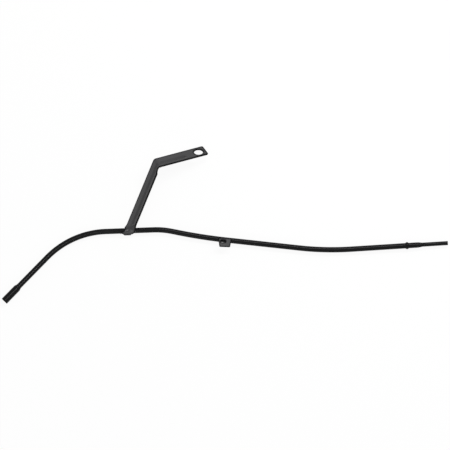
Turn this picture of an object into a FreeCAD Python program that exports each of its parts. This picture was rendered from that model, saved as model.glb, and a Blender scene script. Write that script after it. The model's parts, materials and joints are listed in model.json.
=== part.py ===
import FreeCAD, Part
import math
import os

V = FreeCAD.Vector

# Bent tube, measured along its centreline from the mouth; all lengths in millimetres, angles in degrees
body_od = 9.53
wall = 0.95
mouth_od = 12.7
mouth_length = 31.0
mouth_cone = 6.5
tip_od = 7.2
tip_length = 43.0
tip_cone = 11.0
bead_width = 6.0
bead_from_end = 71.5
lip_round = 0.4

leg_heading = 45.6
leg_length = 107.4
main_bend_angle = 43.6
main_bend_radius = 151.0
upper_run = 83.4
dip_bend_angle = 13.4
dip_bend_radius = 140.0
dip_run = 10.0
easing_bend_angle = 5.2
easing_bend_radius = 960.0
middle_run = 127.6
rise_bend_angle = 9.8
rise_bend_radius = 530.0
end_run = 169.7

# Long bracket, a bent strip with one pressed groove and a saddle foot
strip_width = 25.4
strip_thickness = 2.3
foot_station = 261.4
foot_under_wrap = 86.0
foot_left_cut = 5.8
foot_right_cut = 7.4
twist_along = 5.2
twist_across = 9.4
twist_height = 3.0
fold_heading = -52.6
fold_climb = 46.2
lower_heading = 67.2
lower_climb = 12.01
lower_centre_length = 121.2
crease_skew = 15.0
upper_heading = 15.1
upper_length = 93.2
fold_inner_radius = 4.0
bolt_hole_diameter = 15.6
bolt_hole_end_distance = 13.9
bolt_hole_offset = 0.8
end_corner_radius = 3.0
groove_radius = 4.2
groove_depth = 1.6
groove_offset = 4.1
groove_upper_reach = 50.0
groove_lower_gap = 6.0
relief_radius = 9.3
relief_depth = 3.4
relief_from_corner = 8.2
foot_relief_radius = 6.1
foot_relief_inset = 0.9
foot_relief_across = 5.1

# Weld beads: one under the foot's end, one down each side of the foot, one along the tab's top edge
end_weld_radius = 1.3
end_weld_left = 8.0
end_weld_right = 5.3
side_weld_radius = 0.85
left_weld_start = 38.0
left_weld_sweep = 34.0
right_weld_start = 5.0
right_weld_sweep = 50.0
tab_weld_length = 19.0
weld_lift = 0.2

# Small tab, a flat stamping seated on the front of the tube
tab_station = 432.0
tab_thickness = 2.0
tab_top_width = 23.4
tab_bottom_width = 18.6
tab_rise = 1.3
tab_drop = 14.6
tab_lean = 17.0
tab_swing = 4.5
tab_seat_depth = 0.5
tab_corner_radius = 2.0
slot_length = 8.8
slot_shift = -3.0
slot_height = 4.2
slot_drop = 4.5

body_radius = body_od / 2
mouth_radius = mouth_od / 2
tip_radius = tip_od / 2
axis_height = mouth_radius
corner_cut = 1 - math.sqrt(0.5)


def in_plan(angle):
    return V(math.cos(math.radians(angle)), math.sin(math.radians(angle)), 0)


def left_of(heading):
    return in_plan(heading + 90)


def climbing(heading, climb):
    level = math.cos(math.radians(climb))
    return in_plan(heading) * level + V(0, 0, math.sin(math.radians(climb)))


def arc_move(point, heading, turn, radius):
    side = 1 if turn > 0 else -1
    centre = point + left_of(heading) * (side * radius)
    middle = centre - left_of(heading + turn / 2) * (side * radius)
    end = centre - left_of(heading + turn) * (side * radius)
    return middle, end


def walk(steps, point, heading):
    """Centreline in plan: a step of one number is a straight, of two a bend by an angle and radius."""
    marks = []
    edges = []
    station = 0.0
    for step in steps:
        marks.append((station, point, heading, step))
        if len(step) == 1:
            end = point + in_plan(heading) * step[0]
            edges.append(Part.makeLine(point, end))
            station += step[0]
            point = end
        else:
            turn, radius = step
            middle, end = arc_move(point, heading, turn, radius)
            edges.append(Part.Arc(point, middle, end).toShape())
            station += math.radians(abs(turn)) * radius
            point = end
            heading += turn
    return marks, edges, point, heading


def at_station(marks, distance):
    station, point, heading, step = [mark for mark in marks if mark[0] <= distance][-1]
    travel = distance - station
    if len(step) == 1:
        return point + in_plan(heading) * travel, heading
    side = 1 if step[0] > 0 else -1
    turned = side * math.degrees(travel / step[1])
    return arc_move(point, heading, turned, step[1])[1], heading + turned


def turned_section(profile, point, direction):
    """Solid of revolution from a closed (distance, radius) outline, laid along a direction."""
    face = Part.Face(profile)
    solid = face.revolve(V(0, 0, 0), V(1, 0, 0), 360)
    solid.Placement = FreeCAD.Placement(point, FreeCAD.Rotation(V(1, 0, 0), direction))
    return solid


def outline(points):
    """Closed wire; an entry of two points is an arc through the first to the second."""
    edges = []
    here = points[0]
    for entry in points[1:] + [points[0]]:
        if isinstance(entry, tuple):
            edges.append(Part.Arc(here, entry[0], entry[1]).toShape())
            here = entry[1]
        elif not here.isEqual(entry, 1e-6):
            edges.append(Part.makeLine(here, entry))
            here = entry
    return Part.Wire(edges)


def polygon(corners):
    return Part.makePolygon(corners + corners[:1])


def block(corners, sweep):
    return Part.Face(polygon(corners)).extrude(sweep)


mouth_section = mouth_length + mouth_cone
tip_section = bead_from_end + bead_width
steps = [
    (leg_length - mouth_section,),
    (-main_bend_angle, main_bend_radius),
    (upper_run,),
    (-dip_bend_angle, dip_bend_radius),
    (dip_run,),
    (easing_bend_angle, easing_bend_radius),
    (middle_run,),
    (rise_bend_angle, rise_bend_radius),
    (end_run - tip_section,),
]
mouth_point = V(0, 0, axis_height)
bend_start = mouth_point + in_plan(leg_heading) * mouth_section
marks, path_edges, tip_start, tip_heading = walk(steps, bend_start, leg_heading)
marks = [(mark[0] + mouth_section,) + mark[1:] for mark in marks]
path = Part.Wire(path_edges)


def swept(radius):
    circle = Part.Wire(Part.makeCircle(radius, bend_start, in_plan(leg_heading)))
    return path.makePipeShell([circle], True, False)


body_bore = body_radius - wall
mouth_bore = mouth_radius - wall
tip_bore = tip_radius - wall
swept_body = swept(body_radius).cut(swept(body_bore))

mouth_profile = outline([
    V(0, mouth_bore + lip_round, 0),
    V(0, mouth_radius - lip_round, 0),
    (
        V(lip_round * corner_cut, mouth_radius - lip_round * corner_cut, 0),
        V(lip_round, mouth_radius, 0),
    ),
    V(mouth_length, mouth_radius, 0),
    V(mouth_section, body_radius, 0),
    V(mouth_section, body_bore, 0),
    V(mouth_length, mouth_bore, 0),
    V(lip_round, mouth_bore, 0),
])
mouth_solid = turned_section(mouth_profile, mouth_point, in_plan(leg_heading))

bead_middle = tip_section - bead_from_end
tip_cone_end = tip_section - tip_length
tip_cone_start = tip_cone_end - tip_cone
tip_profile = outline([
    V(0, body_bore, 0),
    V(0, body_radius, 0),
    V(bead_middle - bead_width / 2, body_radius, 0),
    (
        V(bead_middle, mouth_radius, 0),
        V(bead_middle + bead_width / 2, body_radius, 0),
    ),
    V(tip_cone_start, body_radius, 0),
    V(tip_cone_end, tip_radius, 0),
    V(tip_section - lip_round, tip_radius, 0),
    V(tip_section, tip_radius - lip_round, 0),
    V(tip_section, tip_bore, 0),
    V(tip_cone_end, tip_bore, 0),
    V(tip_cone_start, body_bore, 0),
])
tip_solid = turned_section(tip_profile, tip_start, in_plan(tip_heading))

tube = swept_body.fuse([mouth_solid, tip_solid]).removeSplitter().Solids[0]

foot_point, foot_heading = at_station(marks, foot_station)
along = in_plan(foot_heading)
across = left_of(foot_heading)
up = V(0, 0, 1)

fold_dir = climbing(fold_heading, fold_climb)
lower_dir = climbing(lower_heading, lower_climb)
upper_flat = in_plan(upper_heading)
upper_dir = upper_flat - up * (upper_flat.dot(fold_dir) / fold_dir.z)
upper_dir.normalize()
upper_out = upper_dir.cross(fold_dir) * -1
lower_out = fold_dir.cross(lower_dir)
upper_out.normalize()
lower_out.normalize()

half = strip_width / 2
front_radius = fold_inner_radius + strip_thickness
fold_turn = math.degrees(upper_out.getAngle(lower_out))
fold_setback = front_radius * math.tan(math.radians(fold_turn / 2))

crease_centre = foot_point + along * twist_along + across * twist_across
crease_centre += up * (body_radius + strip_thickness + twist_height)
fold_corner = crease_centre + lower_dir * lower_centre_length

upper_start = fold_corner + upper_dir * fold_setback
lower_square = lower_dir - fold_dir * lower_dir.dot(fold_dir)
lower_square.normalize()
lower_start = fold_corner - lower_square * fold_setback
fold_centre = upper_start - upper_out * front_radius
fold_axis = upper_out.cross(lower_out)

upper_end = fold_corner + upper_dir * upper_length
far_crease = crease_centre - fold_dir * half - lower_dir * (crease_skew / 2)
near_crease = crease_centre + fold_dir * half + lower_dir * (crease_skew / 2)
foot_left = foot_point - along * half
foot_right = foot_point + along * half
seat = up * body_radius
front = seat + up * strip_thickness
lower_back = lower_out * -strip_thickness
twist_top = polygon([far_crease, near_crease, near_crease + lower_back, far_crease + lower_back])
twist_bottom = polygon([foot_left + front, foot_right + front, foot_right + seat, foot_left + seat])
twist = Part.makeLoft([twist_top, twist_bottom], True, True)

wrap = Part.Face(twist_bottom).revolve(foot_point, along, foot_under_wrap)
foot_under = body_radius + strip_thickness
front_height = axis_height * 3


def foot_plan(distance, offset):
    return foot_point + along * distance + across * offset


foot_outline = outline([
    foot_plan(-half, 1.0),
    foot_plan(-half, foot_left_cut - foot_under),
    (
        foot_plan(foot_left_cut * corner_cut - half, foot_left_cut * corner_cut - foot_under),
        foot_plan(foot_left_cut - half, -foot_under),
    ),
    foot_plan(half - foot_right_cut, -foot_under),
    (
        foot_plan(half - foot_right_cut * corner_cut, foot_right_cut * corner_cut - foot_under),
        foot_plan(half, foot_right_cut - foot_under),
    ),
    foot_plan(half, 1.0),
])
wrap = wrap.common(Part.Face(foot_outline).extrude(up * (foot_under + 1.0)))


def bent_strip(depth):
    """Upper arm, fold and lower arm, as deep as asked under the visible face."""
    far = fold_dir * -half
    near = fold_dir * half
    upper_deep = upper_out * -depth
    upper_face = [upper_start + far, upper_end + far, upper_end + near, upper_start + near]
    lower_face = [lower_start + far, lower_start + near, near_crease, far_crease]
    section = [upper_start + far, upper_start + near]
    section += [section[1] + upper_deep, section[0] + upper_deep]
    fold = Part.Face(polygon(section)).revolve(fold_centre, fold_axis, fold_turn)
    return block(upper_face, upper_deep).fuse([fold, block(lower_face, lower_out * -depth)])


def groove_rod(radius):
    """Rod along the groove line, held above the visible face, with ball ends."""
    lift = groove_radius - groove_depth
    shift = fold_dir * groove_offset
    upper_far = fold_corner + upper_dir * groove_upper_reach + shift + upper_out * lift
    upper_near = upper_start + shift + upper_out * lift
    lower_near = lower_start + shift + lower_out * lift
    lower_far = crease_centre + lower_dir * groove_lower_gap + shift + lower_out * lift
    upper_rod = Part.makeCylinder(radius, (upper_far - upper_near).Length, upper_near, upper_dir)
    lower_rod = Part.makeCylinder(radius, (lower_far - lower_near).Length, lower_near, lower_dir * -1)
    disc = Part.Face(Part.Wire(Part.makeCircle(radius, upper_near, upper_dir)))
    elbow = disc.revolve(fold_centre, fold_axis, fold_turn)
    balls = [Part.makeSphere(radius, point) for point in (upper_far, lower_near, lower_far)]
    return upper_rod.fuse([elbow, lower_rod] + balls)


def rounded_corners(shape, thickness, end, reach, radius):
    """The plate with its corners within reach of an end point rounded."""
    corners = [
        edge
        for edge in shape.Edges
        if abs(edge.Length - thickness) < 0.01 and (edge.CenterOfMass - end).Length < reach
    ]
    return shape.makeFillet(radius, corners)


strip = bent_strip(strip_thickness)
strip = rounded_corners(strip, strip_thickness, upper_end, strip_width * 0.6, end_corner_radius)
ridge = bent_strip(strip_thickness * 2 + groove_depth).common(groove_rod(groove_radius + strip_thickness))

hole_centre = upper_end - upper_dir * bolt_hole_end_distance + fold_dir * bolt_hole_offset
bolt_hole = Part.makeCylinder(
    bolt_hole_diameter / 2, strip_thickness * 3, hole_centre + upper_out * strip_thickness, upper_out * -1
)
relief_centre = fold_corner - lower_dir * relief_from_corner
relief_centre += fold_dir * (half + relief_radius - relief_depth) + lower_out * relief_radius
relief = Part.makeCylinder(relief_radius, relief_radius * 3, relief_centre, lower_out * -1)
foot_relief_centre = foot_plan(foot_relief_inset - half, foot_relief_across) - up * axis_height
foot_relief = Part.makeCylinder(foot_relief_radius, front_height, foot_relief_centre)


def straight_bead(radius, start, end):
    run = end - start
    rod = Part.makeCylinder(radius, run.Length, start, run)
    return rod.fuse([Part.makeSphere(radius, start), Part.makeSphere(radius, end)])


def side_bead(distance, start, sweep):
    """Bead round the tube's lower side, from a start angle below the front line."""
    first = foot_point + along * distance + up * (body_radius + weld_lift)
    ring = Part.Face(Part.Wire(Part.makeCircle(side_weld_radius, first, across)))
    ring.rotate(foot_point, along, start)
    return ring.revolve(foot_point, along, sweep)


wrap_end = up * math.cos(math.radians(foot_under_wrap)) - across * math.sin(math.radians(foot_under_wrap))
end_weld_line = foot_point + wrap_end * (foot_under - weld_lift)
end_weld = straight_bead(
    end_weld_radius, end_weld_line - along * end_weld_left, end_weld_line + along * end_weld_right
)
left_weld = side_bead(-half, left_weld_start, left_weld_sweep)
right_weld = side_bead(half, right_weld_start, right_weld_sweep)

bracket = strip.fuse([ridge, twist, wrap])
for tool in (groove_rod(groove_radius), bolt_hole, relief, foot_relief):
    bracket = bracket.cut(tool)
bracket = bracket.fuse([end_weld, left_weld, right_weld]).cut(swept(body_radius))
bracket = bracket.removeSplitter().Solids[0]

tab_point, tab_heading = at_station(marks, tab_station)
tab_along = in_plan(tab_heading)
tab_across = left_of(tab_heading)
lean = math.radians(tab_lean)
tab_out = tab_across * math.sin(lean) + up * math.cos(lean)
tab_down = up * math.sin(lean) - tab_across * math.cos(lean)
tab_origin = tab_point + tab_out * (body_radius - tab_seat_depth)
swing = FreeCAD.Rotation(tab_out, tab_swing)


def on_tab(sideways, drop):
    return tab_origin + swing.multVec(tab_along * sideways + tab_down * drop)


tab = block(
    [
        on_tab(-tab_top_width / 2, -tab_rise),
        on_tab(tab_top_width / 2, -tab_rise),
        on_tab(tab_bottom_width / 2, tab_drop),
        on_tab(-tab_bottom_width / 2, tab_drop),
    ],
    tab_out * tab_thickness,
)
tab = rounded_corners(tab, tab_thickness, on_tab(0, tab_drop), tab_bottom_width * 0.6, tab_corner_radius)
slot_round = slot_height / 2
slot_left = slot_shift - slot_length / 2 + slot_round
slot_right = slot_shift + slot_length / 2 - slot_round
slot = outline([
    on_tab(slot_left, slot_drop - slot_round),
    on_tab(slot_right, slot_drop - slot_round),
    (on_tab(slot_right + slot_round, slot_drop), on_tab(slot_right, slot_drop + slot_round)),
    on_tab(slot_left, slot_drop + slot_round),
    (on_tab(slot_left - slot_round, slot_drop), on_tab(slot_left, slot_drop - slot_round)),
])
tab_weld = straight_bead(
    side_weld_radius,
    on_tab(-tab_weld_length / 2, -tab_rise) + tab_out * side_weld_radius,
    on_tab(tab_weld_length / 2, -tab_rise) + tab_out * side_weld_radius,
)
tab = tab.cut(Part.Face(slot).extrude(tab_out * tab_thickness)).fuse(tab_weld)
tab = tab.cut(swept(body_radius)).removeSplitter().Solids[0]

nodes = {"dipstick_tube": tube, "long_bracket": bracket, "small_tab": tab}
box = Part.makeCompound(list(nodes.values())).optimalBoundingBox(False)
to_centre = V(-box.Center.x, -box.Center.y, 0)
os.makedirs("parts", exist_ok=True)
for name, shape in nodes.items():
    shape.translate(to_centre)
    shape.exportStep("parts/" + name + ".step")
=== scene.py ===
"""Looks of a painted oil dipstick tube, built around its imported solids."""

import json
import math

import bmesh
import bpy
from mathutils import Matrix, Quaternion, Vector
from mathutils.geometry import delaunay_2d_cdt


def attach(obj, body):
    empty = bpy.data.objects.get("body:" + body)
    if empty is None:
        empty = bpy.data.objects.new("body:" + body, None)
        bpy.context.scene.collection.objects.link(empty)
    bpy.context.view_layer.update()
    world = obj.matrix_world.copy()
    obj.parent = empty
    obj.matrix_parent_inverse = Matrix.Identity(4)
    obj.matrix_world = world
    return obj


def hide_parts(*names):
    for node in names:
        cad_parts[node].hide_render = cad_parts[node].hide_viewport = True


bl_info = {
    "name": "Oil Dipstick Tube",
    "version": (1, 0, 0),
    "blender": (4, 5, 0),
    "location": "View3D > Sidebar > Dipstick Tube",
    "description": "Builds a bent dipstick tube with its bracket, tab, welds, paint and studio",
    "category": "Object",
}

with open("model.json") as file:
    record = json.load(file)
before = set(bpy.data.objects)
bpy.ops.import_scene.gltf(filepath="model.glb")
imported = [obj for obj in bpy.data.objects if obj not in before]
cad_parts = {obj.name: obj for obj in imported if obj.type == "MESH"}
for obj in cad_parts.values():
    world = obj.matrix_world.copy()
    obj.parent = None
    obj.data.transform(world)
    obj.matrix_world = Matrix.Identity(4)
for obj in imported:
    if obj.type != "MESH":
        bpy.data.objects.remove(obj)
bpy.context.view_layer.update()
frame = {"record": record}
mounts = {mount["name"]: mount for mount in frame["record"]["mounts"]}
mouth_mount = mounts["dipstick_mouth"]
MOUTH = Vector(mouth_mount["pos_m"])
LEG_DIRECTION = -Vector(mouth_mount["axis"])
UP = Vector((0, 0, 1))
CREASE_ZONE = 0.008
CREASE_EASED = 0.003


def size(name, description, millimetres):
    return bpy.props.FloatProperty(
        name=name,
        description=description,
        default=millimetres / 1000,
        precision=5,
        subtype="DISTANCE",
        unit="LENGTH",
    )


def turn(name, description, degrees):
    return bpy.props.FloatProperty(
        name=name,
        description=description,
        default=math.radians(degrees),
        subtype="ANGLE",
        unit="ROTATION",
    )


def count(name, description, number):
    return bpy.props.IntProperty(name=name, description=description, default=number, min=1)


def share(name, description, value):
    return bpy.props.FloatProperty(
        name=name, description=description, default=value, min=0, max=1, subtype="FACTOR"
    )


def number(name, description, value):
    return bpy.props.FloatProperty(name=name, description=description, default=value, min=0)


def power(name, description, watts):
    return bpy.props.FloatProperty(
        name=name, description=description, default=watts, min=0, unit="POWER"
    )


def spot(name, description, point):
    return bpy.props.FloatVectorProperty(
        name=name, description=description, default=point, size=3, subtype="TRANSLATION", unit="LENGTH"
    )


def colour(name, description, value):
    return bpy.props.FloatVectorProperty(
        name=name, description=description, default=value, size=3, min=0, max=1, subtype="COLOR"
    )


class TubeSettings(bpy.types.PropertyGroup):
    body_diameter: size("Body diameter", "Outside diameter of the tube", 9.53)
    wall: size("Wall", "Thickness of the tube's wall", 0.95)
    mouth_diameter: size("Mouth diameter", "Outside diameter of the wider mouth", 12.7)
    mouth_length: size("Mouth length", "Straight part of the mouth", 31.0)
    mouth_cone: size("Mouth cone", "Length over which the mouth narrows", 6.5)
    tip_diameter: size("Tip diameter", "Outside diameter of the tip", 7.2)
    tip_length: size("Tip length", "Straight part of the tip", 43.0)
    tip_cone: size("Tip cone", "Length over which the tip narrows", 11.0)
    bead_width: size("Bead width", "Length of the raised bead", 6.0)
    bead_from_end: size("Bead from end", "Distance of the bead from the tip's end", 71.5)
    lip_round: size("Lip round", "Rounding of both open ends", 0.35)
    leg_length: size("Leg", "Straight from the mouth to the main bend", 107.4)
    main_turn: turn("Main bend", "Angle of the main bend", -43.6)
    main_radius: size("Main bend radius", "Radius of the main bend", 151.0)
    upper_run: size("Upper run", "Straight under the long bracket", 83.4)
    dip_turn: turn("Dip bend", "Angle of the dip bend", -13.4)
    dip_radius: size("Dip bend radius", "Radius of the dip bend", 140.0)
    dip_run: size("Dip run", "Straight after the dip bend", 10.0)
    easing_turn: turn("Easing bend", "Angle of the easing bend", 5.2)
    easing_radius: size("Easing bend radius", "Radius of the easing bend", 960.0)
    middle_run: size("Middle run", "Straight along the middle", 127.6)
    rise_turn: turn("Rise bend", "Angle of the rise bend", 9.8)
    rise_radius: size("Rise bend radius", "Radius of the rise bend", 530.0)
    end_run: size("End run", "Straight to the tip's end", 169.7)
    ring_spacing: size("Ring spacing", "Distance between the mesh rings", 3.0)
    sides: count("Sides", "Faces around the tube", 48)


class BracketSettings(bpy.types.PropertyGroup):
    width: size("Width", "Width of the strip", 25.4)
    thickness: size("Thickness", "Thickness of the strip", 2.3)
    edge_round: size("Edge round", "Rounding of the stamped edges", 0.55)
    # Painted shade: the bracket's edges are painted darker across this band.
    edge_shade_band: size("Edge band", "Width of the darker band along the edges", 3.4)
    foot_station: size("Foot station", "Distance of the foot along the tube", 261.4)
    foot_wrap: turn("Foot wrap", "Angle that the foot goes round under the tube", 86.0)
    foot_left_cut: size("Foot left cut", "Rounding of the foot's left corner", 5.8)
    foot_right_cut: size("Foot right cut", "Rounding of the foot's right corner", 7.4)
    twist_along: size("Twist along", "Crease's place along the tube", 5.2)
    twist_across: size("Twist across", "Crease's place across the tube", 9.4)
    twist_height: size("Twist height", "Crease's height over the foot", 3.0)
    fold_heading: turn("Fold heading", "Plan direction of the fold line", -52.6)
    fold_climb: turn("Fold climb", "Climb of the fold line", 46.2)
    lower_heading: turn("Lower heading", "Plan direction of the lower arm", 67.2)
    lower_climb: turn("Lower climb", "Climb of the lower arm", 12.01)
    lower_length: size("Lower length", "Lower arm from crease to fold", 121.2)
    crease_skew: size("Crease skew", "Slant of the crease across the strip", 15.0)
    crease_round: size("Crease round", "Reach over which the crease is eased", 3.0)
    upper_heading: turn("Upper heading", "Plan direction of the upper arm", 15.1)
    upper_length: size("Upper length", "Upper arm from fold to end", 93.2)
    fold_radius: size("Fold radius", "Inner radius of the fold", 4.0)
    hole_diameter: size("Hole diameter", "Diameter of the bolt hole", 15.6)
    hole_from_end: size("Hole from end", "Bolt hole's centre from the strip's end", 13.9)
    hole_offset: size("Hole offset", "Bolt hole's centre from the strip's middle", 0.8)
    corner_radius: size("Corner radius", "Rounding of the end's corners", 3.0)
    groove_reach: size("Groove reach", "Half the width of the pressed groove", 4.9)
    groove_depth: size("Groove depth", "Depth of the pressed groove", 1.6)
    groove_offset: size("Groove offset", "Groove line from the strip's middle", 4.1)
    groove_upper: size("Groove upper end", "Groove's reach along the upper arm", 50.0)
    groove_gap: size("Groove gap", "Groove's end before the crease", 3.7)
    relief_radius: size("Relief radius", "Radius of the cut in the edge", 9.3)
    relief_depth: size("Relief depth", "Depth of the cut in the edge", 3.4)
    relief_from_fold: size("Relief from fold", "Cut's centre from the fold's corner", 8.2)
    foot_relief_radius: size("Foot relief radius", "Radius of the cut above the foot", 6.1)
    foot_relief_inset: size("Foot relief inset", "Cut's centre from the strip's far edge", 0.9)
    foot_relief_across: size("Foot relief across", "Cut's centre across from the tube's axis", 5.1)


class TabSettings(bpy.types.PropertyGroup):
    station: size("Station", "Distance of the tab along the tube", 432.0)
    thickness: size("Thickness", "Thickness of the plate", 2.0)
    edge_round: size("Edge round", "Rounding of the stamped edges", 0.5)
    # Painted shade: the tab's edges are painted darker across this band.
    edge_shade_band: size("Edge band", "Width of the darker band along the edges", 2.0)
    top_width: size("Top width", "Width at the tube", 23.4)
    bottom_width: size("Bottom width", "Width at the free edge", 18.6)
    rise: size("Rise", "Reach over the tube's front", 1.3)
    drop: size("Drop", "Reach below the tube's front", 14.6)
    lean: turn("Lean", "Slope of the plate from level", 17.0)
    swing: turn("Swing", "Turn of the plate in its own plane", 4.5)
    seat_depth: size("Seat depth", "How far the tube is pressed into the plate", 0.5)
    corner_radius: size("Corner radius", "Rounding of the lower corners", 2.0)
    slot_length: size("Slot length", "Length of the slot", 8.8)
    slot_height: size("Slot height", "Height of the slot", 4.2)
    slot_drop: size("Slot drop", "Slot's centre below the tube's front line", 4.5)
    slot_shift: size("Slot shift", "Slot's centre sideways from the plate's middle", -3.0)


class WeldSettings(bpy.types.PropertyGroup):
    end_radius: size("End radius", "Radius of the bead under the foot's end", 1.3)
    end_left: size("End left", "Reach of that bead towards the mouth", 8.0)
    end_right: size("End right", "Reach of that bead towards the tip", 5.3)
    side_radius: size("Side radius", "Radius of the other beads", 0.85)
    left_start: turn("Left start", "Start of the left bead round the tube", 38.0)
    left_sweep: turn("Left sweep", "Reach of the left bead round the tube", 34.0)
    right_start: turn("Right start", "Start of the right bead round the tube", 5.0)
    right_sweep: turn("Right sweep", "Reach of the right bead round the tube", 50.0)
    tab_length: size("Tab length", "Length of the bead along the tab's top edge", 19.0)
    lift: size("Lift", "Height of the beads' middles over the steel", 0.2)
    ripple_height: size("Ripple height", "Height of the ripples", 0.12)
    ripple_pitch: size("Ripple pitch", "Distance between ripples", 1.1)
    roughness: size("Unevenness", "Random wander of the bead's surface", 0.16)
    seed: count("Seed", "Seed of the unevenness", 7)


class PaintSettings(bpy.types.PropertyGroup):
    tube_colour: colour("Tube colour", "Gloss black on the tube", (0.003, 0.003, 0.0034))
    bracket_colour: colour("Bracket colour", "Satin black on the bracket", (0.025, 0.0245, 0.026))
    tab_colour: colour("Tab colour", "Satin black on the tab", (0.017, 0.0165, 0.018))
    tube_roughness: share("Tube roughness", "Roughness of the tube's paint", 0.22)
    bracket_roughness: share("Bracket roughness", "Roughness of the bracket's paint", 0.28)
    tab_roughness: share("Tab roughness", "Roughness of the tab's paint", 0.46)
    tube_gloss: share("Tube gloss", "Specular level of the tube's paint", 0.1)
    plate_gloss: share("Plate gloss", "Specular level of the bracket's and the tab's paint", 0.35)
    peel_height: size("Peel height", "Height of the orange-peel texture", 0.01)
    peel_scale: number("Peel scale", "Fineness of the orange peel", 420.0)
    mark_scale: number("Mark scale", "Fineness of the handling marks", 45.0)
    mark_depth: share("Mark depth", "How far the marks lighten and darken the paint", 0.18)
    dust_scale: number("Dust scale", "Fineness of the dust", 700.0)
    dust_amount: share("Dust amount", "How far a speck of dust covers the paint", 0.35)
    dust_tone: number("Dust tone", "Brightness of dust against the paint", 2.2)
    # Painted shade: how dark the plates' edges are painted.
    edge_shade_tone: number("Edge tone", "Brightness of the plates' edges against the paint", 0.15)
    edge_roughness: share("Edge roughness", "Roughness of the plates' edges", 0.6)


class StageSettings(bpy.types.PropertyGroup):
    camera_distance: size("Camera distance", "Height of the camera over the part", 12000.0)
    picture_width: size("Picture width", "Width of the view at the tube's height", 787.5)
    aim_x: size("Aim X", "Point that the picture is centred on, along X", 0.23)
    aim_y: size("Aim Y", "Point that the picture is centred on, along Y", -0.21)
    floor_size: size("Floor size", "Side of the floor", 60000.0)
    floor_colour: colour("Floor colour", "Colour of the floor", (0.9, 0.9, 0.9))
    floor_clearing: share("Floor clearing", "How far the floor shows as plain white", 0.92)
    sky_fill: share("Sky fill", "Strength of the world as even light", 0.6)
    key_place: spot("Key place", "Middle of the panel behind the tube's right half", (0.95, 1.15, 1.5))
    key_width: size("Key width", "Width of the key panel", 2100.0)
    key_height: size("Key height", "Height of the key panel", 300.0)
    key_power: power("Key power", "Power of the key panel", 32.0)
    fill_place: spot("Fill place", "Middle of the panel in front of the upper run", (-0.32, -1.3, 0.9))
    fill_width: size("Fill width", "Width and height of the fill panel", 400.0)
    fill_power: power("Fill power", "Power of the fill panel", 1.8)
    card_place: spot("Card place", "Middle of the small panel over the leg", (-0.36, -0.09, 0.8))
    card_width: size("Card width", "Width of the card", 140.0)
    card_height: size("Card height", "Height of the card", 120.0)
    card_power: power("Card power", "Power of the card", 1.3)


def level(angle):
    return Vector((math.cos(angle), math.sin(angle), 0))


def climbing(heading, climb):
    return level(heading) * math.cos(climb) + UP * math.sin(climb)


def walk(tube):
    """Marks along the centreline: (distance, point, heading, length, turn) at the start of each step."""
    steps = (
        (tube.leg_length, 0),
        (tube.main_radius, tube.main_turn),
        (tube.upper_run, 0),
        (tube.dip_radius, tube.dip_turn),
        (tube.dip_run, 0),
        (tube.easing_radius, tube.easing_turn),
        (tube.middle_run, 0),
        (tube.rise_radius, tube.rise_turn),
        (tube.end_run, 0),
    )
    marks = []
    distance, point = 0, MOUTH
    heading = math.atan2(LEG_DIRECTION.y, LEG_DIRECTION.x)
    for reach, bend in steps:
        length = reach * abs(bend) if bend else reach
        marks.append((distance, point, heading, length, bend))
        point, heading = travel(point, heading, length, bend, length)
        distance += length
    marks.append((distance, point, heading, 0, 0))
    return marks


def travel(point, heading, length, bend, done):
    """Point and heading after going some of the way along one straight or bend."""
    if not bend:
        return point + level(heading) * done, heading
    radius = length / bend
    turned = bend * done / length
    centre = point + level(heading + math.pi / 2) * radius
    return centre - level(heading + turned + math.pi / 2) * radius, heading + turned


def at_station(marks, distance):
    start, point, heading, length, bend = [m for m in marks if m[0] <= distance][-1]
    return travel(point, heading, length, bend, distance - start)


def new_object(name, data):
    piece = bpy.data.objects.new(name, data)
    bpy.context.scene.collection.objects.link(piece)
    return piece


def centreline(name, marks):
    """The tube's route as a curve with one control point at each end of each straight and bend."""
    curve = bpy.data.curves.new(name, "CURVE")
    curve.dimensions = "3D"
    curve.resolution_u = 64
    spline = curve.splines.new("BEZIER")
    spline.bezier_points.add(len(marks) - 1)
    before = 0
    for knot, (_, point, heading, length, bend) in zip(spline.bezier_points, marks):
        after = length / 3
        if bend:
            after = 4 / 3 * math.tan(abs(bend) / 4) * length / abs(bend)
        knot.co = point
        knot.handle_left_type = knot.handle_right_type = "FREE"
        knot.handle_left = point - level(heading) * before
        knot.handle_right = point + level(heading) * after
        before = after
    return new_object(name, curve)


def eased(value, low, high):
    part = min(max((value - low) / (high - low), 0), 1)
    return part * part * (3 - 2 * part)


def tube_radius(tube, total, station):
    """Outside radius of the tube at a distance from the mouth."""
    body = tube.body_diameter / 2
    wide = tube.mouth_diameter / 2 - body
    thin = body - tube.tip_diameter / 2
    tip_start = total - tube.tip_length
    radius = body + wide * (1 - eased(station, tube.mouth_length, tube.mouth_length + tube.mouth_cone))
    radius -= thin * eased(station, tip_start - tube.tip_cone, tip_start)
    bead_reach = tube.bead_width * 0.6
    from_bead = abs(station - (total - tube.bead_from_end)) / bead_reach
    if from_bead < 1:
        radius += wide * (0.5 + 0.5 * math.cos(math.pi * from_bead))
    return radius


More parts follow.
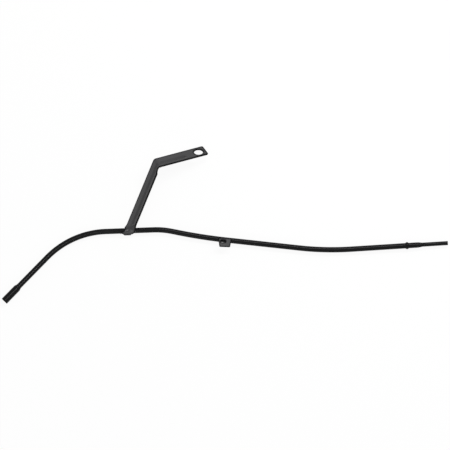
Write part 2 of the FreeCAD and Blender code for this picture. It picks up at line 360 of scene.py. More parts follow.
def tube_outline(tube, total):
    """Closed (distance, radius) outline of the wall: out along the outside and back along the bore."""
    lip = tube.lip_round
    rings = round(total / tube.ring_spacing)
    stations = {total * i / rings for i in range(1, rings)}
    places = (
        (tube.mouth_length + tube.mouth_cone / 2, tube.mouth_cone * 0.6),
        (total - tube.bead_from_end, tube.bead_width * 0.7),
        (total - tube.tip_length - tube.tip_cone / 2, tube.tip_cone * 0.6),
    )
    steps = 12
    for centre, reach in places:
        stations = {s for s in stations if abs(s - centre) > reach}
        stations |= {centre + reach * (i / steps - 1) for i in range(2 * steps + 1)}
    stations = sorted(s for s in stations if lip * 2 < s < total - lip * 2)
    quarter = [math.radians(a) for a in (0, 22.5, 45, 67.5, 90)]
    start, end = tube_radius(tube, total, 0), tube_radius(tube, total, total)
    outline = [(lip * (1 - math.sin(a)), start - lip * (1 - math.cos(a))) for a in reversed(quarter)]
    outline += [(s, tube_radius(tube, total, s)) for s in stations]
    outline += [(total - lip * (1 - math.sin(a)), end - lip * (1 - math.cos(a))) for a in quarter]
    end -= tube.wall
    start -= tube.wall
    outline += [(total - lip * (1 - math.sin(a)), end + lip * (1 - math.cos(a))) for a in reversed(quarter)]
    middle = total - tube.bead_from_end
    for s in reversed(stations):
        plain = tube_radius(tube, total, s)
        if abs(s - middle) < tube.bead_width:
            plain = tube.body_diameter / 2
        outline.append((s, plain - tube.wall))
    outline += [(lip * (1 - math.sin(a)), start + lip * (1 - math.cos(a))) for a in quarter]
    return outline


def lathe(name, outline, sides):
    """Straight tube along X from a closed (distance, radius) outline."""
    mesh = bpy.data.meshes.new(name)
    points = []
    for distance, radius in outline:
        for side in range(sides):
            angle = 2 * math.pi * side / sides
            points.append((distance, radius * math.cos(angle), radius * math.sin(angle)))
    faces = []
    for ring in range(len(outline)):
        after = (ring + 1) % len(outline)
        for side in range(sides):
            beside = (side + 1) % sides
            faces.append(
                (
                    ring * sides + side,
                    ring * sides + beside,
                    after * sides + beside,
                    after * sides + side,
                )
            )
    mesh.from_pydata(points, [], faces)
    return mesh


def tidy_mesh(mesh):
    """Merged doubles, outward faces and smooth shading."""
    shell = bmesh.new()
    shell.from_mesh(mesh)
    bmesh.ops.remove_doubles(shell, verts=shell.verts, dist=1e-7)
    bmesh.ops.recalc_face_normals(shell, faces=shell.faces)
    for face in shell.faces:
        face.smooth = True
    shell.to_mesh(mesh)
    shell.free()
    mesh.update()
    return mesh


def new_tree(name, inputs):
    """Geometry Nodes tree with a geometry in and out and the named inputs."""
    tree = bpy.data.node_groups.new(name, "GeometryNodeTree")
    tree.interface.new_socket("Geometry", in_out="INPUT", socket_type="NodeSocketGeometry")
    for label, kind in inputs:
        tree.interface.new_socket(label, in_out="INPUT", socket_type=kind)
    tree.interface.new_socket("Geometry", in_out="OUTPUT", socket_type="NodeSocketGeometry")
    return tree


def add_node(tree, kind, inputs=(), **values):
    """A node with its properties set; inputs are (socket name or number, value or another node's output)."""
    made = tree.nodes.new(kind)
    for key, value in values.items():
        setattr(made, key, value)
    for socket, value in inputs:
        found = made.inputs[socket]
        if isinstance(value, bpy.types.NodeSocket):
            tree.links.new(value, found)
        else:
            found.default_value = value
    return made


def maths(tree, operation, *values):
    """Result of a math node on sockets or numbers."""
    return add_node(tree, "ShaderNodeMath", enumerate(values), operation=operation).outputs[0]


def vectors(tree, operation, *values):
    """Result of a vector math node on sockets or vectors."""
    return add_node(tree, "ShaderNodeVectorMath", enumerate(values), operation=operation).outputs[0]


def scaled(tree, vector, factor):
    inputs = [(0, vector), ("Scale", factor)]
    return add_node(tree, "ShaderNodeVectorMath", inputs, operation="SCALE").outputs[0]


def ranged(tree, value, low, high, start, end):
    """A value between two levels, carried over to between two others."""
    inputs = [("Value", value), ("From Min", low), ("From Max", high), ("To Min", start), ("To Max", end)]
    return add_node(tree, "ShaderNodeMapRange", inputs).outputs[0]


def noise(tree, place, scale, detail, roughness=0.5):
    inputs = [("Vector", place), ("Scale", scale), ("Detail", detail), ("Roughness", roughness)]
    return add_node(tree, "ShaderNodeTexNoise", inputs).outputs["Fac"]


def mixed_colour(tree, part, first, second):
    """A colour between two, which are sockets or RGBA values."""
    inputs = [(0, part), (6, first), (7, second)]
    return add_node(tree, "ShaderNodeMix", inputs, data_type="RGBA").outputs[2]


def finish_tree(tree, geometry, material):
    """Ends a tree: shade smooth, realize instances, set the material."""
    smooth = add_node(tree, "GeometryNodeSetShadeSmooth", [("Geometry", geometry)])
    real = add_node(tree, "GeometryNodeRealizeInstances", [("Geometry", smooth.outputs[0])])
    painted = add_node(
        tree, "GeometryNodeSetMaterial", [("Geometry", real.outputs[0]), ("Material", material)]
    )
    add_node(tree, "NodeGroupOutput", [(0, painted.outputs[0])])


def run_tree(piece, tree, values):
    """Gives a piece the tree's result as its own plain mesh."""
    modifier = piece.modifiers.new(tree.name, "NODES")
    modifier.node_group = tree
    sockets = {
        item.name: item.identifier
        for item in tree.interface.items_tree
        if item.item_type == "SOCKET" and item.in_out == "INPUT"
    }
    for label, value in values.items():
        modifier[sockets[label]] = value
    bpy.context.view_layer.update()
    depsgraph = bpy.context.evaluated_depsgraph_get()
    mesh = bpy.data.meshes.new_from_object(piece.evaluated_get(depsgraph))
    piece.modifiers.clear()
    name = piece.name
    if piece.type != "MESH":
        bpy.data.objects.remove(piece)
        piece = new_object(name, mesh)
    else:
        piece.data = mesh
    mesh.name = name
    return piece


def bending_tree():
    """Bends a straight tube along X onto a level centreline."""
    tree = new_tree(
        "Bend along centreline",
        [("Centreline", "NodeSocketObject"), ("Material", "NodeSocketMaterial")],
    )
    given = add_node(tree, "NodeGroupInput").outputs
    line = add_node(tree, "GeometryNodeObjectInfo", [("Object", given["Centreline"])])
    place = add_node(tree, "GeometryNodeInputPosition")
    parts = add_node(tree, "ShaderNodeSeparateXYZ", [(0, place.outputs[0])]).outputs
    sample = add_node(
        tree,
        "GeometryNodeSampleCurve",
        [("Curves", line.outputs["Geometry"]), ("Length", parts["X"])],
        mode="LENGTH",
    ).outputs
    left = vectors(tree, "NORMALIZE", vectors(tree, "CROSS_PRODUCT", tuple(UP), sample["Tangent"]))
    beside = vectors(tree, "ADD", sample["Position"], scaled(tree, left, parts["Y"]))
    height = add_node(tree, "ShaderNodeCombineXYZ", [("Z", parts["Z"])]).outputs[0]
    placed = vectors(tree, "ADD", beside, height)
    moved = add_node(
        tree, "GeometryNodeSetPosition", [("Geometry", given["Geometry"]), ("Position", placed)]
    )
    finish_tree(tree, moved.outputs[0], given["Material"])
    return tree


def weld_tree():
    """Sweeps a rippled, uneven bead along a curve."""
    tree = new_tree(
        "Weld bead",
        [
            ("Bead Radius", "NodeSocketFloat"),
            ("Ripple Height", "NodeSocketFloat"),
            ("Ripple Pitch", "NodeSocketFloat"),
            ("Unevenness", "NodeSocketFloat"),
            ("Seed", "NodeSocketInt"),
            ("Material", "NodeSocketMaterial"),
        ],
    )
    steps_per_ripple = 6
    seed_step = 0.37
    end_radius, taper_start = 0.35, 0.38
    given = add_node(tree, "NodeGroupInput").outputs
    spacing = maths(tree, "DIVIDE", given["Ripple Pitch"], steps_per_ripple)
    fine = add_node(
        tree,
        "GeometryNodeResampleCurve",
        [("Curve", given["Geometry"]), ("Length", spacing)],
        mode="LENGTH",
    )
    along = add_node(tree, "GeometryNodeSplineParameter").outputs
    turns = maths(tree, "DIVIDE", along["Length"], given["Ripple Pitch"])
    wave = maths(tree, "SINE", maths(tree, "MULTIPLY", turns, math.tau))
    ripple = maths(tree, "MULTIPLY_ADD", wave, given["Ripple Height"], given["Bead Radius"])
    away = maths(tree, "ABSOLUTE", maths(tree, "SUBTRACT", along["Factor"], 0.5))
    taper = add_node(
        tree,
        "ShaderNodeMapRange",
        [("Value", away), ("From Min", 0.5), ("From Max", taper_start), ("To Min", end_radius)],
        interpolation_type="SMOOTHERSTEP",
    )
    radius = maths(tree, "MULTIPLY", ripple, taper.outputs[0])
    ring = add_node(tree, "GeometryNodeCurvePrimitiveCircle", [("Resolution", 14), ("Radius", 1.0)])
    swept = add_node(
        tree,
        "GeometryNodeCurveToMesh",
        [
            ("Curve", fine.outputs[0]),
            ("Profile Curve", ring.outputs[0]),
            ("Scale", radius),
            ("Fill Caps", True),
        ],
    )
    grain = add_node(
        tree,
        "ShaderNodeTexNoise",
        [("W", maths(tree, "MULTIPLY", given["Seed"], seed_step)), ("Scale", 900.0), ("Detail", 2.0)],
        noise_dimensions="4D",
    )
    centred = vectors(tree, "SUBTRACT", grain.outputs["Color"], (0.5, 0.5, 0.5))
    wander = scaled(tree, centred, given["Unevenness"])
    rough = add_node(
        tree, "GeometryNodeSetPosition", [("Geometry", swept.outputs[0]), ("Offset", wander)]
    )
    finish_tree(tree, rough.outputs[0], given["Material"])
    return tree


def paint(name, base, roughness, specular):
    """Black paint with an orange-peel surface, faint handling marks, dust and painted shade along the plate
    edges.
    """
    look = bpy.context.scene.dipstick_paint
    material = bpy.data.materials.new(name)
    material.use_nodes = True
    tree = material.node_tree
    shader = tree.nodes["Principled BSDF"]
    shader.inputs["Specular IOR Level"].default_value = specular
    place = add_node(tree, "ShaderNodeTexCoord").outputs["Object"]
    marks = noise(tree, place, look.mark_scale, 4.0, 0.6)
    specks = noise(tree, place, look.dust_scale, 3.0, 0.7)
    dust = ranged(tree, specks, 0.58, 0.78, 0.0, look.dust_amount)
    toned = scaled(tree, base, ranged(tree, marks, 0.3, 0.7, 1 - look.mark_depth, 1 + look.mark_depth))
    dusty = mixed_colour(tree, dust, toned, (*[min(1, c * look.dust_tone) for c in base], 1))
    # Painted shade: the attribute "edge" marks the plate edges, which are painted darker, rougher and
    # metallic so that they read as dark outlines.
    edge = add_node(tree, "ShaderNodeAttribute", attribute_name="edge").outputs["Fac"]
    edge_shaded = mixed_colour(tree, edge, dusty, (*[c * look.edge_shade_tone for c in base], 1))
    rub = ranged(tree, marks, 0.3, 0.7, roughness - 0.05, roughness + 0.07)
    rougher = add_node(tree, "ShaderNodeMix", [(0, edge), (2, rub), (3, look.edge_roughness)])
    peel = noise(tree, place, look.peel_scale, 2.0)
    bump = add_node(
        tree,
        "ShaderNodeBump",
        [("Height", peel), ("Distance", look.peel_height), ("Strength", 1.0)],
    )
    tree.links.new(edge_shaded, shader.inputs["Base Color"])
    tree.links.new(rougher.outputs[0], shader.inputs["Roughness"])
    # Painted shade: metallic edges over the near-black base reflect dark.
    tree.links.new(edge, shader.inputs["Metallic"])
    tree.links.new(bump.outputs[0], shader.inputs["Normal"])


def paints():
    """The part's paints by name, made once."""
    look = bpy.context.scene.dipstick_paint
    wanted = {
        "tube_black": (look.tube_colour, look.tube_roughness, look.tube_gloss),
        "bracket_black": (look.bracket_colour, look.bracket_roughness, look.plate_gloss),
        "tab_black": (look.tab_colour, look.tab_roughness, look.plate_gloss),
    }
    for name, (base, roughness, specular) in wanted.items():
        if name not in bpy.data.materials:
            paint(name, tuple(base), roughness, specular)
    return {name: bpy.data.materials[name] for name in wanted}


def hand_over(piece, node=None):
    """Puts a finished piece on the part's one body."""
    if node:
        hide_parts(node)
    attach(piece, "root")


def offset_loop(loop, inset):
    """A closed loop of plane points moved to its left by a distance."""
    moved = []
    for i, point in enumerate(loop):
        back = (point - loop[i - 1]).normalized()
        ahead = (loop[(i + 1) % len(loop)] - point).normalized()
        side = Vector((-back.y - ahead.y, back.x + ahead.x))
        across = side.normalized()
        stretch = across.dot(Vector((-back.y, back.x)))
        moved.append(point + across * inset / max(stretch, 0.5))
    return moved


def rounded_corner(centre, radius, first, last, steps):
    return [
        centre + Vector((math.cos(a), math.sin(a))) * radius
        for a in (first + (last - first) * i / steps for i in range(steps + 1))
    ]


def inside(point, loop):
    hits = False
    for a, b in zip(loop, loop[1:] + loop[:1]):
        if (a.y > point.y) != (b.y > point.y):
            if point.x < a.x + (point.y - a.y) * (b.x - a.x) / (b.y - a.y):
                hits = not hits
    return hits


def clearance(point, loop):
    nearest = 1e9
    for a, b in zip(loop, loop[1:] + loop[:1]):
        run = b - a
        part = max(0, min(1, (point - a).dot(run) / max(run.length_squared, 1e-18)))
        nearest = min(nearest, (point - a - run * part).length_squared)
    return math.sqrt(nearest)


def stamped_plate(name, loops, fill, thickness, edge_round, edge_shade_band, place):
    """A plate from flat loops (the outside anticlockwise, holes clockwise), with rounded edges.

    place(point, depth) forms the flat blank: depth runs from the front face to the back. The
    attribute "edge" falls from 1 on the rounding to 0 at the shade band's inner side; it masks
    the painted shade along the edges.
    """
    quarter = [math.radians(a) for a in (0, 30, 60, 90)]
    levels = [(edge_round * (1 - math.sin(a)), edge_round * (1 - math.cos(a))) for a in quarter]
    rings = levels + [(inset, thickness - depth) for inset, depth in reversed(levels)]
    faces_loops = [offset_loop(loop, edge_round) for loop in loops]
    flat = [point for loop in faces_loops for point in loop]
    edges = []
    start = 0
    for loop in faces_loops:
        edges += [(start + i, start + (i + 1) % len(loop)) for i in range(len(loop))]
        start += len(loop)
    outside, holes = faces_loops[0], faces_loops[1:]
    edge_gap = 0.0004
    sliver = 2e-9
    margins = [0.0] * len(flat)
    for point in fill:
        on_plate = inside(point, outside) and not any(inside(point, hole) for hole in holes)
        margin = min(clearance(point, loop) for loop in faces_loops)
        if on_plate and margin > edge_gap:
            flat.append(point)
            margins.append(margin)
    found, _, triangles, sources, *_ = delaunay_2d_cdt(flat, edges, [], 0, 1e-9)
    kept = []
    for triangle in triangles:
        a, b, c = (found[i] for i in triangle)
        centre = (a + b + c) / 3
        if abs((b - a).cross(c - a)) > sliver and inside(centre, outside):
            if not any(inside(centre, hole) for hole in holes):
                kept.append(triangle)
    shell = bmesh.new()
    # The "edge" attribute masks the painted shade along the plate's edges.
    edge = shell.verts.layers.float.new("edge")
    front = [shell.verts.new(place(point, 0)) for point in found]
    back = [shell.verts.new(place(point, thickness)) for point in found]
    for i, source in enumerate(sources):
        margin = min((margins[j] for j in source), default=0.0)
        front[i][edge] = back[i][edge] = 1 - eased(margin, 0.0, edge_shade_band)
    for triangle in kept:
        shell.faces.new([front[i] for i in triangle])
        shell.faces.new([back[i] for i in reversed(triangle)])
    for loop in loops:
        before = None
        for inset, depth in rings:
            ring = [shell.verts.new(place(point, depth)) for point in offset_loop(loop, inset)]
            for corner in ring:
                corner[edge] = 1.0
            if before:
                for i in range(len(ring)):
                    j = (i + 1) % len(ring)
                    shell.faces.new((before[i], before[j], ring[j], ring[i]))
            before = ring
    loose = [v for v in shell.verts if not v.link_faces]
    bmesh.ops.delete(shell, geom=loose, context="VERTS")
    mesh = bpy.data.meshes.new(name)
    shell.to_mesh(mesh)
    shell.free()
    return tidy_mesh(mesh)


def outside_tube(point, axis_point, axis_direction, radius):
    """The point, pushed out to the tube's surface where it lies inside the tube."""
    from_axis = point - axis_point
    from_axis -= axis_direction * from_axis.dot(axis_direction)
    if from_axis.length >= radius or from_axis.length < 1e-9:
        return point
    return point + from_axis.normalized() * (radius - from_axis.length)


def formed_strip(bracket, tube):
    """The bracket's forming rule: lengths along the flat blank, and where its points go."""
    marks = walk(tube)
    foot, heading = at_station(marks, bracket.foot_station)
    along, across = level(heading), level(heading + math.pi / 2)
    half, thick = bracket.width / 2, bracket.thickness
    body = tube.body_diameter / 2
    fold_line = climbing(bracket.fold_heading, bracket.fold_climb)
    lower = climbing(bracket.lower_heading, bracket.lower_climb)
    upper = level(bracket.upper_heading)
    upper = (upper - UP * (upper.dot(fold_line) / fold_line.z)).normalized()
    upper_out = fold_line.cross(upper).normalized()
    lower_out = fold_line.cross(lower).normalized()
    fold_turn = upper_out.angle(lower_out)
    fold_axis = upper_out.cross(lower_out).normalized()
    front_radius = bracket.fold_radius + thick
    setback = front_radius * math.tan(fold_turn / 2)
    crease = foot + along * bracket.twist_along + across * bracket.twist_across
    crease += UP * (body + thick + bracket.twist_height)
    corner = crease + lower * bracket.lower_length
    upper_end = corner + upper * bracket.upper_length
    upper_start = corner + upper * setback
    lower_square = (lower - fold_line * lower.dot(fold_line)).normalized()
    lower_start = corner - lower_square * setback
    fold_centre = upper_start - upper_out * front_radius
    middle_radius = bracket.fold_radius + thick / 2
    wrap_radius = body + thick / 2
    arm = bracket.upper_length - setback
    bend = arm + middle_radius * fold_turn
    lower_end = bend + (crease - lower_start).length
    foot_top = foot + UP * (body + thick)
    twist_end = lower_end + (foot_top - crease).length
    wrap_end = twist_end + wrap_radius * bracket.foot_wrap

    def crease_point(w):
        return crease + fold_line * w + lower * (bracket.crease_skew * w / bracket.width)

    def surface(s, w, depth):
        if s <= arm:
            return upper_end - upper * s + fold_line * w - upper_out * depth
        if s <= bend:
            out = Quaternion(fold_axis, (s - arm) / middle_radius) @ upper_out
            return fold_centre + fold_line * w + out * (front_radius - depth)
        if s <= lower_end:
            part = (s - bend) / (lower_end - bend)
            start = lower_start + fold_line * w
            return start.lerp(crease_point(w), part) - lower_out * depth
        if s <= twist_end:
            part = (s - lower_end) / (twist_end - lower_end)
            start = crease_point(w) - lower_out * depth
            return start.lerp(foot + along * w + UP * (body + thick - depth), part)
        angle = (s - twist_end) / wrap_radius
        radial = UP * math.cos(angle) - across * math.sin(angle)
        return foot + along * w + radial * (body + thick - depth)

    groove_start = bracket.upper_length - bracket.groove_upper
    groove_end = lower_end - bracket.groove_gap

    def groove(s, w):
        ahead = max(groove_start - s, s - groove_end, 0)
        away = math.hypot(ahead, w - bracket.groove_offset) / bracket.groove_reach
        return bracket.groove_depth * (0.5 + 0.5 * math.cos(math.pi * away)) if away < 1 else 0

    def place(point, depth):
        s, w = point
        reach = bracket.crease_round * eased(s, lower_end - CREASE_ZONE, lower_end - CREASE_EASED)
        sunk = depth + groove(s, w)
        if reach:
            offsets = (-0.75, -0.25, 0.25, 0.75)
            put = sum((surface(s + reach * k, w, sunk) for k in offsets), Vector()) / len(offsets)
        else:
            put = surface(s, w, sunk)
        return outside_tube(put, foot, along, body)

    cut_inset = bracket.foot_relief_inset - half
    cut_centre = foot + along * cut_inset + across * bracket.foot_relief_across

    def far_edge(s):
        """The far edge at a station, kept clear of the round cut above the foot."""
        low, high = -half, half
        halvings = 30
        for step in range(halvings):
            w = low if step == 0 else (low + high) / 2
            away = surface(s, w, thick / 2) - cut_centre
            if math.hypot(away.x, away.y) < bracket.foot_relief_radius:
                low = w
            elif step == 0:
                return w
            else:
                high = w
        return high

    lengths = {"bend_start": arm, "bend_end": bend, "crease": lower_end, "foot": twist_end, "end": wrap_end}
    return place, far_edge, lengths


def bracket_blank(bracket, tube, far_edge, lengths):
    """The flat strip before it is formed: its outline, its bolt hole, and points to fill it."""
    half = bracket.width / 2
    radius = bracket.corner_radius
    bent_step, formed_step, plain_step, cut_step = 0.0006, 0.0008, 0.0018, 0.00025
    margin = 1e-3
    stations = [radius * 1.2]
    while stations[-1] < lengths["end"] - margin:
        here = stations[-1]
        bent = lengths["bend_start"] - margin < here < lengths["bend_end"] + margin
        formed = here > lengths["crease"] - CREASE_ZONE
        stations.append(here + (bent_step if bent else formed_step if formed else plain_step))
    cut_stations = [lengths["foot"] + cut_step * i for i in range(-40, 5)]
    front = tube.body_diameter / 2 + bracket.thickness
    wrap_radius = tube.body_diameter / 2 + bracket.thickness / 2

    def foot_corner(cut, side):
        """The foot's end corner: a quarter circle in plan, carried round the tube."""
        points = []
        for i in range(9):
            angle = math.radians(90 * i / 8)
            offset = front - cut * (1 - math.sin(angle))
            wrapped = math.asin(min(offset / front, math.sin(bracket.foot_wrap)))
            inward = half - cut * (1 - math.cos(angle))
            points.append(Vector((lengths["foot"] + wrap_radius * wrapped, side * inward)))
        return points

    far_corner = foot_corner(bracket.foot_left_cut, -1)
    near_corner = foot_corner(bracket.foot_right_cut, 1)
    bend_past_corner = 0.0037
    relief_middle = lengths["bend_end"] + bracket.relief_from_fold - bend_past_corner
    chord = math.sqrt(bracket.relief_radius**2 - (bracket.relief_radius - bracket.relief_depth) ** 2)
    relief_centre = Vector((relief_middle, half + bracket.relief_radius - bracket.relief_depth))
    outline = rounded_corner(Vector((radius, radius - half)), radius, math.pi, math.pi * 1.5, 6)
    outline += [Vector((s, far_edge(s))) for s in stations if s < cut_stations[0] - 2e-4]
    outline += [Vector((s, far_edge(s))) for s in cut_stations]
    outline += far_corner
    steps = 10
    first, last = far_corner[-1], near_corner[-1]
    outline += [first.lerp(last, i / steps) for i in range(1, steps)]
    outline += reversed(near_corner)
    near = [s for s in reversed(stations) if s < near_corner[0].x - 4e-4]
    outline += [Vector((s, half)) for s in near if s > relief_middle + chord + 5e-4]
    spread = math.asin(chord / bracket.relief_radius)
    outline += rounded_corner(
        relief_centre, bracket.relief_radius, spread - math.pi / 2, -spread - math.pi / 2, 14
    )
    outline += [Vector((s, half)) for s in near if s < relief_middle - chord - 5e-4]
    outline += rounded_corner(Vector((radius, half - radius)), radius, math.pi / 2, math.pi, 6)
    hole_centre = Vector((bracket.hole_from_end, bracket.hole_offset))
    hole = rounded_corner(hole_centre, bracket.hole_diameter / 2, 0, -math.tau, 64)[:-1]
    columns = 32
    fill = [
        Vector((s, half * (2 * i / columns - 1)))
        for s in [radius * 0.4, radius * 0.8] + stations
        for i in range(1, columns)
    ]
    return [outline, hole], fill


def tab_frame(tab, tube):
    """The tube's axis point and direction at the tab, then the tab's sideways, down and out."""
    point, heading = at_station(walk(tube), tab.station)
    sideways, across = level(heading), level(heading + math.pi / 2)
    out = across * math.sin(tab.lean) + UP * math.cos(tab.lean)
    down = UP * math.sin(tab.lean) - across * math.cos(tab.lean)
    swing = Quaternion(out, tab.swing)
    return point, sideways, swing @ sideways, swing @ down, out


def tab_blank(tab):
    """The tab's flat outline and slot, and points to fill it."""
    top, bottom = tab.top_width / 2, tab.bottom_width / 2
    top_corner, edge_step, fill_step = 0.0006, 0.001, 0.0009
    corners = [
        (Vector((-top, -tab.rise)), top_corner),
        (Vector((top, -tab.rise)), top_corner),
        (Vector((bottom, tab.drop)), tab.corner_radius),
        (Vector((-bottom, tab.drop)), tab.corner_radius),
    ]
    outline = []
    for i, (corner, radius) in enumerate(corners):
        before = (corners[i - 1][0] - corner).normalized()
        after = (corners[(i + 1) % 4][0] - corner).normalized()
        half_angle = before.angle(after) / 2
        centre = corner + (before + after).normalized() * radius / math.sin(half_angle)
        start = corner + before * radius / math.tan(half_angle)
        end = corner + after * radius / math.tan(half_angle)
        first = math.atan2(start.y - centre.y, start.x - centre.x)
        last = math.atan2(end.y - centre.y, end.x - centre.x)
        if last < first:
            last += math.tau
        outline += rounded_corner(centre, radius, first, last, 6)
    dense = []
    for a, b in zip(outline, outline[1:] + outline[:1]):
        pieces = max(1, round((b - a).length / edge_step))
        dense += [a.lerp(b, i / pieces) for i in range(pieces)]
    reach = (tab.slot_length - tab.slot_height) / 2
    round_radius = tab.slot_height / 2
    left = Vector((tab.slot_shift - reach, tab.slot_drop))
    right = Vector((tab.slot_shift + reach, tab.slot_drop))
    slot = rounded_corner(left, round_radius, -math.pi / 2, -math.pi * 1.5, 14)
    slot += rounded_corner(right, round_radius, math.pi / 2, -math.pi / 2, 14)
    columns, rows = 24, 17
    fill = [
        Vector((-top + fill_step * i, -tab.rise + fill_step * j))
        for i in range(1, columns + 1)
        for j in range(1, rows + 1)
    ]
    return [dense, slot], fill


def path_curve(name, points):
    """A smooth curve through a few points."""
    curve = bpy.data.curves.new(name, "CURVE")
    curve.dimensions = "3D"
    curve.resolution_u = 12
    spline = curve.splines.new("BEZIER")
    spline.bezier_points.add(len(points) - 1)
    for knot, point in zip(spline.bezier_points, points):
        knot.co = point
        knot.handle_left_type = knot.handle_right_type = "AUTO"
    return new_object(name, curve)


def weld_values(weld, radius, material):
    return {
        "Bead Radius": radius,
        "Ripple Height": weld.ripple_height,
        "Ripple Pitch": weld.ripple_pitch,
        "Unevenness": weld.roughness,
        "Seed": weld.seed,
        "Material": material,
    }


class DIPSTICK_OT_tube(bpy.types.Operator):
    """Builds the bent tube with its mouth, bead and tip"""

    bl_idname = "dipstick.tube"
    bl_label = "Dipstick Tube"

    def execute(self, context):
        tube = context.scene.dipstick_tube
        marks = walk(tube)
        line = centreline("tube_centreline", marks)
        outline = tube_outline(tube, marks[-1][0])
        piece = new_object("bent_tube", lathe("bent_tube", outline, tube.sides))
        run_tree(piece, bending_tree(), {"Centreline": line, "Material": paints()["tube_black"]})
        tidy_mesh(piece.data)
        bpy.data.objects.remove(line)
        hand_over(piece, "dipstick_tube")
        return {"FINISHED"}


class DIPSTICK_OT_bracket(bpy.types.Operator):
    """Builds the long bracket from its flat blank"""

    bl_idname = "dipstick.bracket"
    bl_label = "Long Bracket"

    def execute(self, context):
        scene = context.scene
        bracket, tube = scene.dipstick_bracket, scene.dipstick_tube
        place, far_edge, lengths = formed_strip(bracket, tube)
        loops, fill = bracket_blank(bracket, tube, far_edge, lengths)
        mesh = stamped_plate(
            "stamped_bracket",
            loops,
            fill,
            bracket.thickness,
            bracket.edge_round,
            bracket.edge_shade_band,
            place,
        )
        mesh.materials.append(paints()["bracket_black"])
        hand_over(new_object("stamped_bracket", mesh), "long_bracket")
        return {"FINISHED"}


class DIPSTICK_OT_tab(bpy.types.Operator):
    """Builds the small slotted tab"""

    bl_idname = "dipstick.tab"
    bl_label = "Small Tab"

    def execute(self, context):
        scene = context.scene
        tab, tube = scene.dipstick_tab, scene.dipstick_tube
        point, along, sideways, down, out = tab_frame(tab, tube)
        body = tube.body_diameter / 2
        front = body - tab.seat_depth + tab.thickness

        def place(flat, depth):
            put = point + sideways * flat.x + down * flat.y + out * (front - depth)
            return outside_tube(put, point, along, body)

        loops, fill = tab_blank(tab)
        mesh = stamped_plate(
            "slotted_tab", loops, fill, tab.thickness, tab.edge_round, tab.edge_shade_band, place
        )
        mesh.materials.append(paints()["tab_black"])
        hand_over(new_object("slotted_tab", mesh), "small_tab")
        return {"FINISHED"}


class DIPSTICK_OT_welds(bpy.types.Operator):
    """Builds the weld beads of the bracket's foot and of the tab"""

    bl_idname = "dipstick.welds"
    bl_label = "Weld Beads"

    def execute(self, context):
        scene = context.scene
        weld, tube = scene.dipstick_weld, scene.dipstick_tube
        bracket, tab = scene.dipstick_bracket, scene.dipstick_tab
        body = tube.body_diameter / 2
        foot, heading = at_station(walk(tube), bracket.foot_station)
        along, across = level(heading), level(heading + math.pi / 2)

        def round_tube(distance, angle, radius):
            return foot + along * distance + (UP * math.cos(angle) - across * math.sin(angle)) * radius

        def side_path(side, first, sweep):
            edge = side * bracket.width / 2
            return [round_tube(edge, first + sweep * i / 4, body + weld.lift) for i in range(5)]

        under = body + bracket.thickness - weld.lift
        ends = (-weld.end_left, -weld.end_left / 2, 0, weld.end_right / 2, weld.end_right)
        point, _, sideways, down, out = tab_frame(tab, tube)
        tab_top = point - down * tab.rise + out * (body - tab.seat_depth + weld.side_radius)
        left = side_path(-1, weld.left_start, weld.left_sweep)
        right = side_path(1, weld.right_start, weld.right_sweep)
        below = [round_tube(distance, bracket.foot_wrap, under) for distance in ends]
        tab_line = [tab_top + sideways * (weld.tab_length * i / 4) for i in range(-2, 3)]
        paths = (
            ("foot_weld_left", left, weld.side_radius, "bracket"),
            ("foot_weld_right", right, weld.side_radius, "bracket"),
            ("foot_weld_end", below, weld.end_radius, "bracket"),
            ("tab_weld", tab_line, weld.side_radius, "tab"),
        )
        tree = weld_tree()
        for name, points, radius, part in paths:
            material = paints()[part + "_black"]
            piece = run_tree(path_curve(name, points), tree, weld_values(weld, radius, material))
            tidy_mesh(piece.data)
            hand_over(piece)
        return {"FINISHED"}


def area_light(name, place, aim_y, width, height, power):
    """A soft panel light aimed across the floor at aim_y; the camera doesn't see it."""
    lamp = bpy.data.lights.new(name, "AREA")
    lamp.shape = "RECTANGLE"
    lamp.size, lamp.size_y = width, height
    lamp.energy = power
    light = new_object(name, lamp)
    light.location = place
    light.rotation_mode = "QUATERNION"
    aim = Vector((place[0], aim_y, 0)) - Vector(place)
    light.rotation_quaternion = aim.to_track_quat("-Z", "Y")
    light.visible_camera = False
    return light


def shown_plainly(tree):
    """1 where the camera looks at the floor, straight on or by way of a mirrored or clear surface."""
    rays = add_node(tree, "ShaderNodeLightPath").outputs
    indirect = maths(tree, "MAXIMUM", rays["Is Glossy Ray"], rays["Is Transmission Ray"])
    return maths(tree, "MAXIMUM", rays["Is Camera Ray"], indirect)


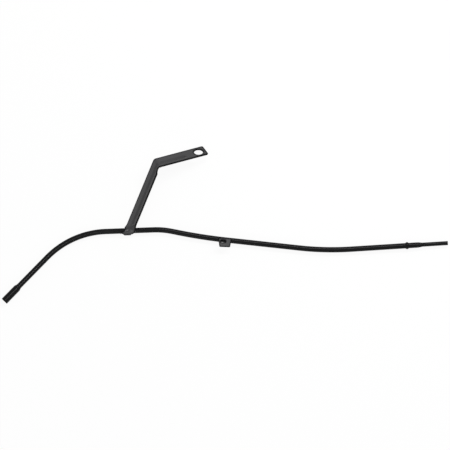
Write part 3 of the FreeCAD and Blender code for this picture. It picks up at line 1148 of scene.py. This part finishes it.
class DIPSTICK_OT_stage(bpy.types.Operator):
    """Builds the pale floor, the soft lights and the camera"""

    bl_idname = "dipstick.stage"
    bl_label = "Studio"

    def execute(self, context):
        scene = context.scene
        stage = scene.dipstick_stage
        half = stage.floor_size / 2
        ground = bpy.data.meshes.new("floor")
        ground.from_pydata(
            [(-half, -half, 0), (half, -half, 0), (half, half, 0), (-half, half, 0)], [], [(0, 1, 2, 3)]
        )
        floor = new_object("floor", ground)
        paper = bpy.data.materials.new("floor_paper")
        paper.use_nodes = True
        tree = paper.node_tree
        tree.nodes.clear()
        matt = add_node(tree, "ShaderNodeBsdfDiffuse", [("Color", (*stage.floor_colour, 1))])
        white = add_node(tree, "ShaderNodeEmission", [("Color", (1, 1, 1, 1)), ("Strength", 1.0)])
        part = maths(tree, "MULTIPLY", shown_plainly(tree), stage.floor_clearing)
        mixed = add_node(
            tree, "ShaderNodeMixShader", [(0, part), (1, matt.outputs[0]), (2, white.outputs[0])]
        )
        add_node(tree, "ShaderNodeOutputMaterial", [("Surface", mixed.outputs[0])])
        ground.materials.append(paper)

        world = bpy.data.worlds.new("studio")
        scene.world = world
        world.use_nodes = True
        tree = world.node_tree
        tree.nodes.clear()
        rays = add_node(tree, "ShaderNodeLightPath").outputs
        strength = add_node(
            tree, "ShaderNodeMix", [(0, rays["Is Diffuse Ray"]), (2, 1.0), (3, stage.sky_fill)]
        )
        sky = add_node(
            tree, "ShaderNodeBackground", [("Color", (1, 1, 1, 1)), ("Strength", strength.outputs[0])]
        )
        add_node(tree, "ShaderNodeOutputWorld", [("Surface", sky.outputs[0])])

        fill, card = stage.fill_place, stage.card_place
        area_light("key_panel", stage.key_place, 0, stage.key_width, stage.key_height, stage.key_power)
        area_light("fill_panel", fill, 0, stage.fill_width, stage.fill_width, stage.fill_power)
        leg_card = area_light(
            "leg_card", card, card[1], stage.card_width, stage.card_height, stage.card_power
        )
        leg_card.visible_diffuse = False

        camera_data = bpy.data.cameras.new("camera")
        camera = new_object("camera", camera_data)
        sensor = 36
        camera_data.sensor_width = sensor
        camera_data.lens = sensor * stage.camera_distance / stage.picture_width
        camera_data.clip_start, camera_data.clip_end = 0.1, 200
        camera.location = (stage.aim_x, stage.aim_y, MOUTH.z + stage.camera_distance)
        camera.rotation_euler = (0, 0, 0)
        scene.camera = camera
        scene.view_settings.view_transform = "Standard"
        return {"FINISHED"}


class DIPSTICK_PT_panel(bpy.types.Panel):
    """Lists the pieces in the order they are built"""

    bl_idname = "DIPSTICK_PT_panel"
    bl_label = "Dipstick Tube"
    bl_space_type = "VIEW_3D"
    bl_region_type = "UI"
    bl_category = "Dipstick Tube"

    def draw(self, context):
        for operator in operators:
            self.layout.operator(operator.bl_idname)


settings = {
    "dipstick_tube": TubeSettings,
    "dipstick_bracket": BracketSettings,
    "dipstick_tab": TabSettings,
    "dipstick_weld": WeldSettings,
    "dipstick_paint": PaintSettings,
    "dipstick_stage": StageSettings,
}
operators = (
    DIPSTICK_OT_tube,
    DIPSTICK_OT_bracket,
    DIPSTICK_OT_tab,
    DIPSTICK_OT_welds,
    DIPSTICK_OT_stage,
)


def register():
    for group in settings.values():
        bpy.utils.register_class(group)
    for operator in operators:
        bpy.utils.register_class(operator)
    bpy.utils.register_class(DIPSTICK_PT_panel)
    for name, group in settings.items():
        setattr(bpy.types.Scene, name, bpy.props.PointerProperty(type=group))


def unregister():
    for name in settings:
        delattr(bpy.types.Scene, name)
    bpy.utils.unregister_class(DIPSTICK_PT_panel)
    for operator in reversed(operators):
        bpy.utils.unregister_class(operator)
    for group in reversed(settings.values()):
        bpy.utils.unregister_class(group)


def main():
    register()
    bpy.ops.dipstick.tube()
    bpy.ops.dipstick.bracket()
    bpy.ops.dipstick.tab()
    bpy.ops.dipstick.welds()
    bpy.ops.dipstick.stage()


if __name__ == "__main__":
    main()
